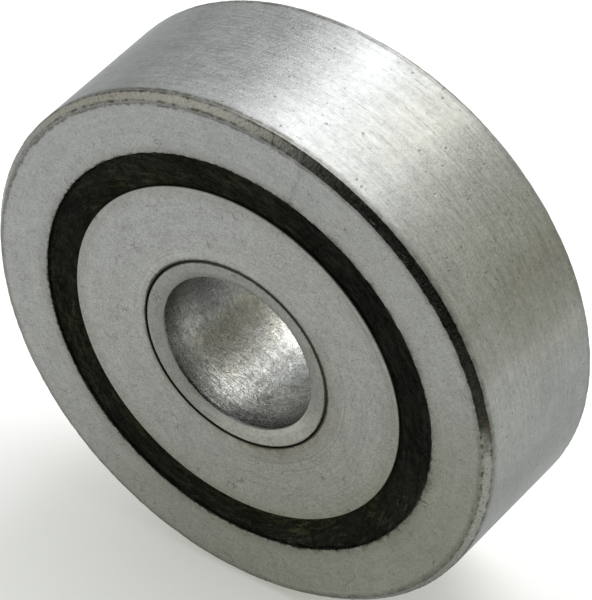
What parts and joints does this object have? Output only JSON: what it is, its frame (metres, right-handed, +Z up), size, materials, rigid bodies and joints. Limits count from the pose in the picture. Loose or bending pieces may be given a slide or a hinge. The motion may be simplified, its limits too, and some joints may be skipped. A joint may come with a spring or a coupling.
{
  "type": "cam follower",
  "caption": "Bored steel roller: a chamfered outer ring turns on a full row of balls round a split inner race and a plain hub sleeve, with a black felt seal in each end",
  "frame": {"origin": "centre of the roller, on the bore's axis and half way between the end faces", "axes": "+Y along the bore's axis from the front end face to the rear one, +Z up, +X to the right as seen from the front; the front face looks along -Y"},
  "size_m": [0.035, 0.0112, 0.035],
  "materials": {
    "ring_steel": "plated steel, fine scratches running round the rim, matte grained end faces, dark worn chamfer",
    "race_steel": "matte grey steel end faces with faint turning marks",
    "hub_steel": "light grey steel, bore roughly machined",
    "seal_felt": "black felt, fibrous and slightly oily",
    "ball_steel": "polished bearing steel"
  },
  "bodies": {
    "hub": {"hub_sleeve": "hub_steel", "inner_race_front": "race_steel", "inner_race_rear": "race_steel"},
    "outer_ring": {"outer_ring": "ring_steel", "felt_seal_front": "seal_felt", "felt_seal_rear": "seal_felt"},
    "ball_row": {"ball_01": "ball_steel", "ball_02": "ball_steel", "ball_03": "ball_steel", "ball_04": "ball_steel", "ball_05": "ball_steel", "ball_06": "ball_steel", "ball_07": "ball_steel", "ball_08": "ball_steel", "ball_09": "ball_steel", "ball_10": "ball_steel", "ball_11": "ball_steel", "ball_12": "ball_steel", "ball_13": "ball_steel", "ball_14": "ball_steel", "ball_15": "ball_steel", "ball_16": "ball_steel"}
  },
  "joints": [
    {"name": "outer_ring_spin", "type": "hinge", "parent": "hub", "child": "outer_ring", "pos_m": [0, 0, 0], "axis": [0, 1, 0], "continuous": true},
    {"name": "ball_row_orbit", "type": "hinge", "parent": "hub", "child": "ball_row", "pos_m": [0, 0, 0], "axis": [0, 1, 0], "continuous": true}
  ],
  "couplings": [
    {"joint": "ball_row_orbit", "follows": "outer_ring_spin", "ratio": 0.5954}
  ]
}
